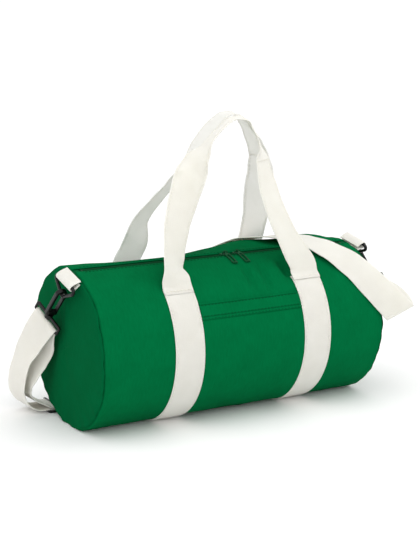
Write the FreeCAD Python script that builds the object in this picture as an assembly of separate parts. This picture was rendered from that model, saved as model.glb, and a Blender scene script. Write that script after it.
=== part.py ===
import FreeCAD, Part
import math
import os

os.makedirs("parts", exist_ok=True)
Vec = FreeCAD.Vector

# Barrel bag on the floor: X runs along the barrel, -Y is the pocket side, Z is up.
# The origin is the middle of the flat that the barrel stands on. Lengths are in mm.
bag_length = 500.0
bag_diameter = 254.0
foot_width = 72.0
canvas_thick = 2.0
end_dome = 6.0
dome_shoulder_share = 0.75
binding_width = 12.0
binding_thick = 1.2
sewn_gap = 0.2
run_gap = 0.3
cut_margin = 5.0

# Webbing: one width for bands, handles, tabs and shoulder strap.
web_width = 50.0
web_thick = 1.8
web_pitch = 230.0
web_shift = 6.0
sewn_angle = 42.0
band_top_angle = 38.0
handle_rise = 243.0
web_step = 15.0

# Front pocket between the two bands, angles from the top toward the front.
pocket_thick = 1.2
hem_thick = 0.8
pocket_top_angle = 56.0
hem_angle = 68.0
pocket_foot_angle = 150.0

# Zip: two tapes, two rows of teeth and two sliders that meet head to head.
zip_angle = 10.0
slot_width = 13.0
tape_width = 12.0
tape_thick = 1.0
row_half = 3.2
row_spine = 1.3
tooth_reach = 1.4
tooth_pitch = 6.0
tooth_width = 2.2
row_thick = 2.6
stop_length = 3.0
slider_length = 14.0
slider_width = 9.2
plate_thick = 1.4
lip_width = 1.0
lip_drop = 0.8
wedge_length = 3.0
wedge_width = 2.6
left_slider_x = 13.0
right_slider_x = 36.0
bridge_radius = 0.9
bridge_rise = 3.2
bridge_half = 4.0
pull_length = 36.0
pull_width = 9.0
pull_thick = 1.6
pull_neck = 6.0
pull_slot_width = 4.4
pull_slot_end = 4.0
pull_curl = 1.2
pull_eye_radius = 2.4
pull_drop_angle = 20.0

# Ring tabs, triangular rings and swivel snap hooks at both ends.
left_tab_angle = 15.0
right_tab_angle = 11.0
ring_wire_radius = 2.6
ring_bar_out = 14.0
left_bar_down = 12.5
right_bar_down = -1.0
ring_half_width = 30.2
ring_height = 23.0
ring_tip_radius = 10.0
ring_corner_radius = 4.5
ring_lean_angle = 8.0
eye_play = 2.0
hook_section = 4.6
hook_width = 7.0
hook_round = 1.1
spine_length = 38.0
nose_length = 9.0
block_length = 8.0
gate_thick = 3.2
gate_round = 0.6
post_radius = 2.8
head_radius = 4.4
head_thick = 2.0
cross_thick = 5.0
loop_slot = 10.0
loop_arm = 4.0
loop_thick = 4.0
loop_bar_radius = 2.2
loop_play = 1.0
loop_round = 1.5
collar_rise = 2.5
collar_radius = 6.5
left_hook_tilt = 25.0
right_hook_tilt = -33.0
left_hook_lean = 0.0
right_hook_lean = 12.5
left_swivel = 20.0
right_swivel = 102.0

# Shoulder strap: a doubled drop on the left, then the floor, the back, over the top.
wrap_lift = 2.0
zip_lift = 10.0
fold_radius = 4.0
sewn_back = 17.0
straight_end = 20.0
tail_straight = 9.0

# Strap adjuster: outer bars below the web and a raised middle bar above it.
adjuster_inset = 14.0
adjuster_travel = 80.0
adjuster_length = 34.0
adjuster_rim = 4.0
adjuster_bar = 4.0
adjuster_thick = 3.0
adjuster_round = 0.8

radius = bag_diameter / 2
half_length = bag_length / 2
axis_height = math.sqrt(radius ** 2 - (foot_width / 2) ** 2)
crown_height = axis_height + radius
axis_point = Vec(0, 0, axis_height)
x_axis = Vec(1, 0, 0)
y_axis = Vec(0, 1, 0)
z_axis = Vec(0, 0, 1)
web_centres = [web_shift - web_pitch / 2, web_shift + web_pitch / 2]
adjuster_x = adjuster_inset - half_length
band_reach = radius + sewn_gap + web_thick
hinge_reach = band_reach + 2 * run_gap + web_thick / 2
hinge_y = hinge_reach * math.sin(math.radians(sewn_angle))
hinge_z = axis_height + hinge_reach * math.cos(math.radians(sewn_angle))


def save(node, shape):
    shape.exportStep("parts/" + node + ".step")


# Point of the YZ plane at an angle from the top toward the front.
def at(angle, reach):
    turn = math.radians(angle)
    return Vec(0, -reach * math.sin(turn), axis_height + reach * math.cos(turn))


def box(low, high):
    size = high - low
    return Part.makeBox(size.x, size.y, size.z, low)


# Barrel outline: a circle about the barrel's axis cut flat at a floor height.
def outline(reach, floor):
    half = math.sqrt(reach ** 2 - (axis_height - floor) ** 2)
    front = Vec(0, -half, floor)
    rear = Vec(0, half, floor)
    arc = Part.Arc(front, Vec(0, 0, axis_height + reach), rear).toShape()
    return Part.Face(Part.Wire([arc, Part.makeLine(rear, front)]))


def slab(face, start, end):
    moved = face.copy()
    moved.translate(Vec(start, 0, 0))
    return moved.extrude(Vec(end - start, 0, 0))


# Ring-shaped strip between two radii and two angles, run along the barrel.
def sector(inner, outer, start, end, x_start, x_end):
    middle = (start + end) / 2
    top = Part.Arc(at(start, outer), at(middle, outer), at(end, outer)).toShape()
    foot = Part.Arc(at(end, inner), at(middle, inner), at(start, inner)).toShape()
    side = Part.makeLine(at(end, outer), at(end, inner))
    back = Part.makeLine(at(start, inner), at(start, outer))
    return slab(Part.Face(Part.Wire([top, side, foot, back])), x_start, x_end)


def arc_angle(length, reach):
    return math.degrees(length / reach)


# Smooth webbing: rows of (centre, width direction) joined by cubic curves
# whose slopes are weighted by the chord lengths on both sides.
def smooth_rows(rows, step):
    points = [row[0] for row in rows]
    widths = [row[1].normalize() for row in rows]
    chords = [(b - a).Length for a, b in zip(points, points[1:])]
    slopes = [(points[1] - points[0]) / chords[0]]
    for i in range(1, len(points) - 1):
        before = (points[i] - points[i - 1]) / chords[i - 1]
        after = (points[i + 1] - points[i]) / chords[i]
        total = chords[i - 1] + chords[i]
        slopes.append(before * (chords[i] / total) + after * (chords[i - 1] / total))
    slopes.append((points[-1] - points[-2]) / chords[-1])
    result = []
    for i, chord in enumerate(chords):
        count = max(1, math.ceil(chord / step))
        last = 1 if i == len(chords) - 1 else 0
        for k in range(count + last):
            t = k / count
            u = 1 - t
            place = points[i] * (u * u * (1 + 2 * t)) + points[i + 1] * (t * t * (1 + 2 * u))
            place = place + (slopes[i] * (u * u * t) - slopes[i + 1] * (t * t * u)) * chord
            way = (points[i + 1] - points[i]) * (6 * t * u / chord)
            way = way + slopes[i] * (u * (1 - 3 * t)) + slopes[i + 1] * (t * (3 * t - 2))
            width = widths[i] * (u * u * (1 + 2 * t)) + widths[i + 1] * (t * t * (1 + 2 * u))
            result.append((place, way.normalize(), width))
    return result


# A ribbon of true width; its rows lie square to the run or along their own slant.
def ribbon(rows, width, thick, step, square=True):
    rings = []
    for place, way, side in smooth_rows(rows, step):
        level = side - way * side.dot(way)
        across = (level if square else side) * (width / 2 / level.Length)
        up = way.cross(across).normalize() * (thick / 2)
        rings.append([place - across - up, place + across - up, place + across + up, place - across + up])
    faces = [Part.Face(Part.makePolygon(ring + ring[:1])) for ring in (rings[0], rings[-1])]
    for before, after in zip(rings, rings[1:]):
        for k in range(len(before)):
            patch = Part.BezierSurface()
            patch.setPole(1, 1, before[k - 1])
            patch.setPole(1, 2, before[k])
            patch.setPole(2, 1, after[k - 1])
            patch.setPole(2, 2, after[k])
            faces.append(patch.toShape())
    shell = Part.Shell(faces)
    shell.sewShape()
    return Part.Solid(shell)


# Barrel: one sheet of canvas closed along the zip, let up over the two bands.
inside = outline(radius - canvas_thick, canvas_thick)
barrel = slab(outline(radius, 0), -half_length, half_length)
barrel = barrel.cut(slab(inside, -half_length - cut_margin, half_length + cut_margin))
slot_angle = arc_angle(slot_width / 2, radius)
slot = sector(radius - canvas_thick - cut_margin, radius + cut_margin, zip_angle - slot_angle,
              zip_angle + slot_angle, -half_length - cut_margin, half_length + cut_margin)
barrel = barrel.cut(slot)
band_floor = web_thick + sewn_gap
foot_half = foot_width / 2
lift_half = math.sqrt(radius ** 2 - (axis_height - band_floor) ** 2)
for centre in web_centres:
    low_x = centre - web_width / 2 - sewn_gap
    high_x = centre + web_width / 2 + sewn_gap
    barrel = barrel.cut(box(Vec(low_x, -radius, 0), Vec(high_x, radius, band_floor)))
    lifted = box(Vec(low_x - canvas_thick, -lift_half, band_floor),
                 Vec(high_x + canvas_thick, lift_half, band_floor + canvas_thick))
    barrel = barrel.fuse(lifted)
    for edge in (low_x - canvas_thick, high_x):
        fold = box(Vec(edge, -foot_half, 0), Vec(edge + canvas_thick, foot_half, band_floor + canvas_thick))
        barrel = barrel.fuse(fold)
save("barrel_panel", barrel.removeSplitter())


# End panel: a shallow dome with its rim against the barrel's cut edge.
def end_panel(side):
    rim = side * (half_length + sewn_gap)
    skin = side * canvas_thick
    rise = side * end_dome
    middle = Vec(rim + rise * dome_shoulder_share, 0, axis_height + radius / 2)
    inner = Part.Arc(Vec(rim + rise, 0, axis_height), middle, Vec(rim, 0, crown_height)).toShape()
    outer = inner.copy()
    outer.translate(Vec(skin, 0, 0))
    hub = Part.makeLine(Vec(rim + rise, 0, axis_height), Vec(rim + rise + skin, 0, axis_height))
    edge = Part.makeLine(Vec(rim, 0, crown_height), Vec(rim + skin, 0, crown_height))
    face = Part.Face(Part.Wire(Part.__sortEdges__([inner, edge, outer, hub])))
    dome = face.revolve(axis_point, x_axis, 360)
    reach = half_length + bag_length
    return dome.cut(box(Vec(-reach, -bag_diameter, -bag_diameter), Vec(reach, bag_diameter, 0)))


def binding(side):
    low = canvas_thick + sewn_gap
    face = outline(radius - low, low)
    hole = outline(radius - low - binding_thick, low + binding_thick)
    start = min(side * half_length, side * (half_length - binding_width))
    ring = slab(face, start, start + binding_width)
    return ring.cut(slab(hole, start - cut_margin, start + binding_width + cut_margin))


save("left_end_panel", end_panel(-1))
save("right_end_panel", end_panel(1))
save("left_seam_binding", binding(-1))
save("right_seam_binding", binding(1))

# Patch pocket with a doubled hem along its open top edge.
pocket_left = web_centres[0] + web_width / 2 + sewn_gap
pocket_right = web_centres[1] - web_width / 2 - sewn_gap
skin_reach = radius + sewn_gap
pocket = sector(skin_reach, skin_reach + pocket_thick, pocket_top_angle, pocket_foot_angle,
                pocket_left, pocket_right)
hem = sector(skin_reach, skin_reach + pocket_thick + hem_thick, pocket_top_angle, hem_angle,
             pocket_left, pocket_right)
save("front_pocket", pocket.fuse(hem).removeSplitter())

# Bands: webbing sewn from the front joint, under the bag, to the rear joint.
for node, centre in zip(("left_web_band", "right_web_band"), web_centres):
    start = centre - web_width / 2
    end = centre + web_width / 2
    band = slab(outline(band_reach, 0), start, end)
    band = band.cut(slab(outline(radius + sewn_gap, web_thick), start - cut_margin, end + cut_margin))
    mouth = sector(radius - cut_margin, band_reach + cut_margin, -band_top_angle, band_top_angle,
                   start - cut_margin, end + cut_margin)
    save(node, band.cut(mouth))

# Handles: shares of half the web pitch, of the hinge's depth and of the rise,
# then the turn of the width from +X toward the front, in degrees.
front_handle_shares = [
    (-1.000, 1.000, 0.000, 0), (-1.000, 0.972, 0.032, -4), (-1.010, 0.905, 0.115, -30),
    (-0.975, 0.840, 0.195, -24), (-0.870, 0.700, 0.370, -12), (-0.700, 0.560, 0.540, 2),
    (-0.560, 0.450, 0.655, 24), (-0.425, 0.350, 0.755, 68), (-0.230, 0.300, 0.850, 110),
    (-0.020, 0.290, 0.938, 116), (0.170, 0.285, 0.990, 116), (0.357, 0.285, 0.985, 116),
    (0.496, 0.285, 0.914, 116), (0.600, 0.285, 0.815, 122), (0.635, 0.320, 0.712, 146),
    (0.675, 0.490, 0.507, 158), (0.800, 0.735, 0.269, 164), (0.930, 0.900, 0.115, 176),
    (1.000, 0.970, 0.035, 180), (1.000, 1.000, 0.000, 180),
]
rear_handle_shares = [
    (-1.000, -1.000, 0.000, 180), (-1.000, -0.966, 0.030, 179), (-0.930, -0.820, 0.150, 177),
    (-0.915, -0.630, 0.314, 153), (-0.705, -0.480, 0.463, 147), (-0.520, -0.400, 0.563, 143),
    (-0.310, -0.345, 0.705, 117), (-0.087, -0.320, 0.836, 97), (0.122, -0.320, 0.938, 94),
    (0.335, -0.320, 1.006, 102), (0.500, -0.320, 1.000, 108), (0.665, -0.320, 0.920, 100),
    (0.795, -0.320, 0.820, 88), (0.885, -0.325, 0.720, 80), (0.930, -0.365, 0.622, 64),
    (0.965, -0.490, 0.458, 34), (0.985, -0.645, 0.294, 2), (0.990, -0.805, 0.150, 0),
    (1.000, -0.970, 0.030, 0), (1.000, -1.000, 0.000, 0),
]


def handle_rows(shares):
    rows = []
    for x_share, y_share, z_share, turn in shares:
        place = Vec(web_shift + x_share * web_pitch / 2, -y_share * hinge_y, hinge_z + z_share * handle_rise)
        bend = math.radians(turn)
        rows.append((place, Vec(math.cos(bend), -math.sin(bend), 0)))
    return rows


save("front_handle", ribbon(handle_rows(front_handle_shares), web_width, web_thick, web_step))
save("rear_handle", ribbon(handle_rows(rear_handle_shares), web_width, web_thick, web_step))

# Zip, drawn along the top of the barrel and turned about its axis to the zip line.
tape_top = radius - canvas_thick - sewn_gap
tape_foot = tape_top - tape_thick
row_top = tape_top + (row_thick - tape_thick) / 2
row_foot = row_top - row_thick
tape_end = half_length - binding_width - sewn_gap
row_end = tape_end - stop_length - sewn_gap


def on_zip(shape):
    turned = shape.copy()
    turned.rotate(axis_point, x_axis, zip_angle)
    return turned


def tape(side):
    near = side * arc_angle(row_half + sewn_gap, tape_top)
    far = side * arc_angle(row_half + sewn_gap + tape_width, tape_top)
    return sector(tape_foot, tape_top, min(near, far), max(near, far), -tape_end, tape_end)


# One row of teeth: a cord with fingers, left out between the two open slider noses.
def teeth(side, offset):
    height = axis_height + row_foot
    cord = side * (row_half - row_spine)
    tip = -side * tooth_reach
    gap_start = left_slider_x + wedge_length / 2
    gap_end = right_slider_x - wedge_length / 2
    points = [Vec(-row_end, -side * row_half, height), Vec(-row_end, -cord, height)]
    count = int((2 * row_end - tooth_pitch) / tooth_pitch)
    for i in range(count):
        start = -row_end + offset + i * tooth_pitch
        end = start + tooth_width
        if end > gap_start and start < gap_end:
            continue
        points += [Vec(start, -cord, height), Vec(start, -tip, height)]
        points += [Vec(end, -tip, height), Vec(end, -cord, height)]
    points += [Vec(row_end, -cord, height), Vec(row_end, -side * row_half, height)]
    face = Part.Face(Part.makePolygon(points + points[:1]))
    return face.extrude(Vec(0, 0, row_thick))


def stops():
    parts = []
    for side in (-1, 1):
        start = min(side * tape_end, side * (tape_end - stop_length))
        low = Vec(start, -row_half, axis_height + row_foot)
        parts.append(on_zip(box(low, Vec(start + stop_length, row_half, axis_height + row_top))))
    return Part.makeCompound(parts)


tooth_start = tooth_pitch / 4
save("front_zip_tape", on_zip(tape(1)))
save("rear_zip_tape", on_zip(tape(-1)))
save("front_zip_teeth", on_zip(teeth(1, tooth_start)))
save("rear_zip_teeth", on_zip(teeth(-1, tooth_start + tooth_pitch / 2)))
save("zip_end_stops", stops())

top_plate_foot = axis_height + row_top + run_gap
top_plate_top = top_plate_foot + plate_thick
low_plate_top = axis_height + row_foot - run_gap
low_plate_foot = low_plate_top - plate_thick
bridge_height = top_plate_top + bridge_rise


# Slider: two plates on a wedge at the nose, side lips and a bridge for the pull.
def slider(centre, nose):
    start = centre - slider_length / 2
    end = centre + slider_length / 2
    half = slider_width / 2
    top = box(Vec(start, -half, top_plate_foot), Vec(end, half, top_plate_top))
    top = top.makeFillet(plate_thick / 2, [e for e in top.Edges if abs(e.Vertexes[0].Z - e.Vertexes[-1].Z) > sewn_gap])
    body = top.fuse(box(Vec(start, -half, low_plate_foot), Vec(end, half, low_plate_top)))
    wedge_start = min(nose * (slider_length / 2 - wedge_length), nose * slider_length / 2) + centre
    wedge = box(Vec(wedge_start, -wedge_width / 2, low_plate_foot),
                Vec(wedge_start + wedge_length, wedge_width / 2, top_plate_foot + plate_thick / 2))
    body = body.fuse(wedge)
    for side in (-1, 1):
        low = min(side * half, side * (half - lip_width))
        lip = box(Vec(start, low, top_plate_foot - lip_drop), Vec(end, low + lip_width, top_plate_foot))
        body = body.fuse(lip)
        post_low = Vec(centre + side * bridge_half, 0, top_plate_foot)
        body = body.fuse(Part.makeCylinder(bridge_radius, bridge_height - top_plate_foot, post_low, z_axis))
        body = body.fuse(Part.makeSphere(bridge_radius, Vec(centre + side * bridge_half, 0, bridge_height)))
    bar = Part.makeCylinder(bridge_radius, 2 * bridge_half, Vec(centre - bridge_half, 0, bridge_height), x_axis)
    return on_zip(body.fuse(bar).removeSplitter())


# Pull: an eye on the bridge, a neck and a slotted plate with a curled end.
def pull(centre):
    hub = Vec(centre, 0, bridge_height)
    eye = Part.makeCylinder(pull_eye_radius, pull_thick * 2, hub - x_axis * pull_thick, x_axis)
    half = pull_width / 2
    rest = pull_thick / 2
    plate = box(Vec(-half, -pull_length, -rest), Vec(half, -pull_neck, rest))
    plate = plate.makeFillet(half / 2, [e for e in plate.Edges if e.Length < pull_thick + sewn_gap])
    slot = box(Vec(-pull_slot_width / 2, -pull_length + pull_slot_end, -pull_thick),
               Vec(pull_slot_width / 2, -pull_neck - pull_slot_end, pull_thick))
    plate = plate.cut(slot)
    neck = box(Vec(-pull_thick, -pull_neck - rest, -rest), Vec(pull_thick, 0, rest))
    curl = Part.makeCylinder(pull_curl, pull_width / 2, Vec(-half / 2, -pull_length + pull_curl, rest), x_axis)
    shape = plate.fuse(neck).fuse(curl)
    shape.translate(hub)
    shape = shape.fuse(eye)
    hole = Part.makeCylinder(bridge_radius + run_gap, pull_width, hub - x_axis * half, x_axis)
    shape = shape.cut(hole).removeSplitter()
    shape.rotate(hub, x_axis, pull_drop_angle - zip_angle)
    return on_zip(shape)


save("left_zip_slider", slider(left_slider_x, 1))
save("right_zip_slider", slider(right_slider_x, -1))
save("left_zip_pull", pull(left_slider_x))
save("right_zip_pull", pull(right_slider_x))

# Ends: each tab hangs a ring, and a swivel hook on the ring carries the strap.
panel_face = half_length + sewn_gap + canvas_thick
eye_radius = ring_wire_radius + eye_play
hook_outer = eye_radius + hook_section
block_foot = spine_length + block_length
cross_top = block_foot + run_gap + collar_rise
cross_foot = cross_top + cross_thick
head_top = cross_foot + run_gap
bar_depth = cross_foot + loop_slot
loop_half = web_width / 2 + loop_play


def tab_angle(side):
    return left_tab_angle if side < 0 else right_tab_angle


# Middle of the ring's bar, before the tab is turned about the barrel's axis.
def ring_hub(side):
    down = left_bar_down if side < 0 else right_bar_down
    return Vec(side * (panel_face + ring_bar_out), 0, crown_height - down)


# Tab: webbing from the end seam around the ring's bar and back to the seam.
def ring_tab(side):
    loop = ring_wire_radius + run_gap + web_thick / 2
    hub = ring_hub(side)
    top = Vec(side * (panel_face + run_gap + web_thick / 2), 0, crown_height - web_thick)
    foot = Vec(side * (panel_face + canvas_thick), 0, crown_height - 4 * web_thick)
    way = (hub - (top + foot) / 2).normalize()
    out = way.cross(y_axis) * side
    places = [top]
    for turn in range(-90, 91, 30):
        swing = math.radians(turn)
        places.append(hub + way * (loop * math.cos(swing)) - out * (loop * math.sin(swing)))
    places.append(foot)
    shape = ribbon([(place, y_axis * 1.0) for place in places], web_width, web_thick, web_step)
    shape.rotate(axis_point, x_axis, tab_angle(side))
    return shape


# Ring: a round bar bent to a triangle with a rounded tip, leaning out a little.
def ring(side):
    hub = ring_hub(side)
    corner = Vec(0, ring_half_width - ring_corner_radius, -ring_corner_radius)
    tip = Vec(0, 0, ring_tip_radius - ring_height)
    along = (tip - corner).normalize()
    lean = (ring_corner_radius - ring_tip_radius) / (tip - corner).Length
    out = along * lean + Vec(0, -along.z, along.y) * math.sqrt(1 - lean ** 2)
    bar_end = corner + z_axis * ring_corner_radius
    corner_end = corner + out * ring_corner_radius
    tip_start = tip + out * ring_tip_radius
    corner_middle = corner + (z_axis + out).normalize() * ring_corner_radius

    def other(place):
        return Vec(place.x, -place.y, place.z)

    edges = [
        Part.makeLine(other(bar_end), bar_end),
        Part.Arc(bar_end, corner_middle, corner_end).toShape(),
        Part.makeLine(corner_end, tip_start),
        Part.Arc(tip_start, tip - z_axis * ring_tip_radius, other(tip_start)).toShape(),
        Part.makeLine(other(tip_start), other(corner_end)),
        Part.Arc(other(corner_end), other(corner_middle), other(bar_end)).toShape(),
    ]
    circle = Part.Wire([Part.makeCircle(ring_wire_radius, other(bar_end), y_axis)])
    pipe = Part.Wire(edges).makePipeShell([circle], False, True)
    shape = Part.Solid(Part.Shell(pipe.Faces))
    shape.rotate(Vec(0, 0, 0), y_axis, -side * ring_lean_angle)
    shape.translate(hub)
    shape.rotate(axis_point, x_axis, tab_angle(side))
    return shape


save("left_ring_tab", ring_tab(-1))
save("right_ring_tab", ring_tab(1))
save("left_ring", ring(-1))
save("right_ring", ring(1))


# Frame of a hook: its eye is centred on the ring's wire, Z is up along its shank.
def hook_frame(side, tilt, lean):
    hub = ring_hub(side)
    turned = FreeCAD.Rotation(x_axis, tab_angle(side))
    swing = FreeCAD.Rotation(x_axis, tilt)
    out = FreeCAD.Rotation(y_axis, -side * ring_lean_angle)
    tip = Vec(0, 0, ring_tip_radius - ring_height) + swing.multVec(-z_axis * ring_tip_radius)
    eye = axis_point + turned.multVec(hub + out.multVec(tip) - axis_point)
    turn = turned.multiply(out).multiply(swing)
    turn = turn.multiply(FreeCAD.Rotation(y_axis, -side * lean))
    turn = turn.multiply(FreeCAD.Rotation(z_axis, 90 - side * 90))
    return FreeCAD.Placement(eye, turn)


def placed(shape, frame):
    moved = shape.copy()
    moved.Placement = frame
    return moved


def round_rims(shape, reach, size):
    rims = [e for e in shape.Edges if abs(abs(e.CenterOfMass.y) - reach) < sewn_gap]
    return shape.makeFillet(size, rims)


# Hook: a flat J over the wire, a spine, a block below and a headed swivel post.
def hook():
    half = hook_width / 2
    left = -half * y_axis
    corners = [Vec(hook_outer, 0, 0), Vec(hook_outer, 0, -block_foot), Vec(-hook_outer, 0, -block_foot),
               Vec(-hook_outer, 0, -spine_length), Vec(eye_radius, 0, -spine_length), Vec(eye_radius, 0, 0)]
    edges = [Part.makeLine(a, b) for a, b in zip(corners, corners[1:])]
    edges.append(Part.Arc(corners[-1], Vec(0, 0, eye_radius), Vec(-eye_radius, 0, 0)).toShape())
    nose = [Vec(-eye_radius, 0, 0), Vec(-eye_radius, 0, -nose_length), Vec(-hook_outer, 0, -nose_length),
            Vec(-hook_outer, 0, 0)]
    edges += [Part.makeLine(a, b) for a, b in zip(nose, nose[1:])]
    edges.append(Part.Arc(nose[-1], Vec(0, 0, hook_outer), corners[0]).toShape())
    face = Part.Face(Part.Wire(edges))
    face.translate(left)
    body = round_rims(face.extrude(y_axis * hook_width), half, hook_round)
    post = Part.makeCylinder(post_radius, head_top + hook_round - block_foot + hook_round,
                             Vec(0, 0, hook_round - block_foot), -z_axis)
    head = Part.makeCylinder(head_radius, head_thick, Vec(0, 0, -head_top), -z_axis)
    return body.fuse(post).fuse(head).removeSplitter()


# Gate: a tongue on a round root that closes against the nose from the inside.
gate_x = -(eye_radius + hook_section / 2)
gate_z = gate_thick / 2 + run_gap - spine_length


def gate():
    half = hook_width / 2
    rest = gate_thick / 2
    tongue = box(Vec(gate_x - rest, -half, gate_z), Vec(gate_x + rest, half, -nose_length - run_gap))
    root = Part.makeCylinder(rest, hook_width, Vec(gate_x, -half, gate_z), y_axis)
    return round_rims(tongue.fuse(root).removeSplitter(), half, gate_round)


# Strap loop: a flat frame with a round-edged web bar and a boss bored for the post.
def strap_loop():
    end = loop_half + loop_arm
    half = loop_thick / 2
    frame = box(Vec(-half, -end, -bar_depth - half), Vec(half, end, -cross_top))
    frame = frame.makeFillet(loop_arm, [e for e in frame.Edges if abs(e.Length - loop_thick) < sewn_gap])
    window = box(Vec(-loop_thick, -loop_half, half - bar_depth), Vec(loop_thick, loop_half, -cross_foot))
    frame = frame.cut(window)
    rims = [e for e in frame.Edges if abs(abs(e.CenterOfMass.x) - half) < sewn_gap]
    frame = frame.makeFillet(loop_round, rims)
    boss = Part.makeCylinder(collar_radius, cross_thick + collar_rise, Vec(0, 0, -cross_foot), z_axis)
    bore = Part.makeCylinder(post_radius + run_gap, bar_depth, Vec(0, 0, -cross_foot - run_gap), z_axis)
    return frame.fuse(boss).cut(bore).removeSplitter()


left_frame = hook_frame(-1, left_hook_tilt, left_hook_lean)
right_frame = hook_frame(1, right_hook_tilt, right_hook_lean)
left_loop_frame = left_frame.multiply(FreeCAD.Placement(Vec(0, 0, 0), FreeCAD.Rotation(z_axis, left_swivel)))
right_loop_frame = right_frame.multiply(FreeCAD.Placement(Vec(0, 0, 0), FreeCAD.Rotation(z_axis, right_swivel)))
save("left_hook", placed(hook(), left_frame))
save("right_hook", placed(hook(), right_frame))
save("left_hook_gate", placed(gate(), left_frame))
save("right_hook_gate", placed(gate(), right_frame))
save("left_strap_loop", placed(strap_loop(), left_loop_frame))
save("right_strap_loop", placed(strap_loop(), right_loop_frame))


# Places along an arc that turns the way about an axis by a number of degrees.
def bend(place, way, axis, turn, reach, count):
    slide = way.dot(axis)
    level = way - axis * slide
    inward = axis.cross(level).normalize() * reach
    drift = axis * (slide / level.Length * reach * math.radians(turn))
    places = []
    for k in range(count + 1):
        turned = FreeCAD.Rotation(axis, turn * k / count)
        places.append(place + inward - turned.multVec(inward) + drift * (k / count))
    return places


# Place given as shares of the half length, the radius and the radius.
def spot(x_share, y_share, z_share):
    return Vec(x_share * half_length, y_share * radius, z_share * radius)


wrap_reach = loop_bar_radius + run_gap + web_thick / 2
run_share = 0.795
run_height = 2 * run_gap + adjuster_thick + web_thick / 2
rear_side = y_axis * 1.0

# Left drop: the main layer outside and the doubled tail inside, with width directions.
main_drop_shares = [
    (-1.160, 0.441, 0.961, Vec(-0.20, 0.93, 0.30)), (-1.184, 0.598, 0.724, Vec(-0.08, 0.99, 0.05)),
    (-1.196, 0.709, 0.472, Vec(-0.12, 0.99, 0)), (-1.188, 0.764, 0.283, Vec(-0.10, 0.99, 0)),
    (-1.144, 0.787, 0.126, Vec(-0.05, 1, 0)), (-1.072, 0.795, 0.043, Vec(0, 1, 0)),
]
tail_drop_shares = [
    (-1.094, 0.299, 1.087, Vec(-0.25, 0.90, 0.45)), (-1.084, 0.362, 0.961, Vec(-0.22, 0.95, 0.20)),
    (-1.096, 0.457, 0.787, Vec(-0.15, 0.97, 0.10)), (-1.124, 0.575, 0.598, Vec(-0.10, 0.99, 0)),
    (-1.144, 0.709, 0.425, Vec(-0.10, 0.99, 0)), (-1.140, 0.764, 0.276, Vec(-0.10, 0.99, 0)),
    (-1.096, 0.787, 0.173, Vec(-0.05, 1, 0)), (-1.032, 0.795, 0.102, Vec(0, 1, 0)),
]
climb_shares = [
    (-0.380, 0.835, 0.063, Vec(0, 0.97, 0.20)), (-0.248, 0.945, 0.189, Vec(-0.15, 0.80, 0.58)),
    (-0.152, 1.031, 0.394, Vec(-0.35, 0.40, 0.85)),
]
# Over the barrel: share of the half length, angle from the top, share of the zip lift,
# then the tilt that raises the edge nearer the right end, in degrees.
wrap_shares = [
    (-0.088, -113, 0.80, 0), (-0.024, -95, 0.35, 0), (0.064, -75, 0.10, 0), (0.136, -58, 0, 0),
    (0.204, -43, 0, 0), (0.332, -26, 0.35, 0), (0.472, -12, 0.80, 0), (0.576, 0, 0.90, 0),
    (0.662, 12.5, 0.78, 0), (0.750, 26, 0.50, 3), (0.853, 42.5, 0.12, 9), (0.954, 60.5, 0, 12),
    (1.038, 72.2, 0.10, 15), (1.086, 78.7, 0.20, 19),
]
fold_side = Vec(-0.87, 0.22, -0.42)
fold_turn = 98.0


def share_rows(shares):
    return [(spot(x, y, z), side * 1.0) for x, y, z, side in shares]


def wrap_rows(shares):
    places = []
    for x_share, angle, lift_share, tilt in shares:
        raised = web_width / 2 * math.sin(math.radians(tilt))
        place = at(angle, radius + wrap_lift + lift_share * zip_lift + raised)
        places.append(place + x_axis * (x_share * half_length))
    rows = []
    for i, place in enumerate(places):
        way = places[min(i + 1, len(places) - 1)] - places[max(i - 1, 0)]
        out = Vec(0, place.y, place.z - axis_height).normalize()
        tilt = math.radians(shares[i][3])
        rows.append((place, way.cross(out).normalize() * math.cos(tilt) - out * math.sin(tilt)))
    return rows


left_bar = left_loop_frame.multVec(-z_axis * bar_depth)
left_out = left_loop_frame.Rotation.multVec(x_axis)
left_wide = left_loop_frame.Rotation.multVec(y_axis)
left_down = left_loop_frame.Rotation.multVec(-z_axis)
around_left = bend(left_bar - left_out * wrap_reach, -left_down, left_wide, 180, wrap_reach, 6)
strap_rows = [(place, -left_wide) for place in around_left]
strap_rows += share_rows(main_drop_shares)
run_y = run_share * radius
run_start = adjuster_x - adjuster_length / 2
run_end = adjuster_x + adjuster_travel + adjuster_length / 2 + cut_margin
for x in (run_start - cut_margin, run_start, run_end, run_end + cut_margin):
    strap_rows.append((Vec(x, run_y, run_height), rear_side * 1.0))
strap_rows += share_rows(climb_shares)
strap_rows += wrap_rows(wrap_shares)

right_bar = right_loop_frame.multVec(-z_axis * bar_depth)
right_wide = right_loop_frame.Rotation.multVec(y_axis)
fold_axis = fold_side.normalize()
fold_way = (strap_rows[-1][0] - strap_rows[-2][0]).normalize()
fold_start = strap_rows[-1][0] + fold_way * fold_radius
around_fold = bend(fold_start, fold_way, -fold_axis, fold_turn, fold_radius, 5)
strap_rows += [(place, fold_axis * 1.0) for place in around_fold]
leave = around_fold[-1] - right_bar
leave = (leave - right_wide * leave.dot(right_wide)).normalize()
over = right_wide.cross(leave).normalize()
over = over if over.z > 0 else -over
strap_rows.append((right_bar + over * wrap_reach + leave * straight_end, right_wide * 1.0))
end_axis = (-leave).cross(-over)
around_right = bend(right_bar + over * wrap_reach, -leave, end_axis, 180, wrap_reach, 6)
strap_rows += [(place, right_wide * 1.0) for place in around_right]
close = over * (wrap_reach - web_thick - 2 * sewn_gap)
strap_rows.append((right_bar + leave * (sewn_back * 2 / 3) + close, right_wide * 1.0))
strap_rows.append((right_bar + leave * sewn_back + close, right_wide * 1.0))
save("shoulder_strap", ribbon(strap_rows, web_width, web_thick, web_step, False))

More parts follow.
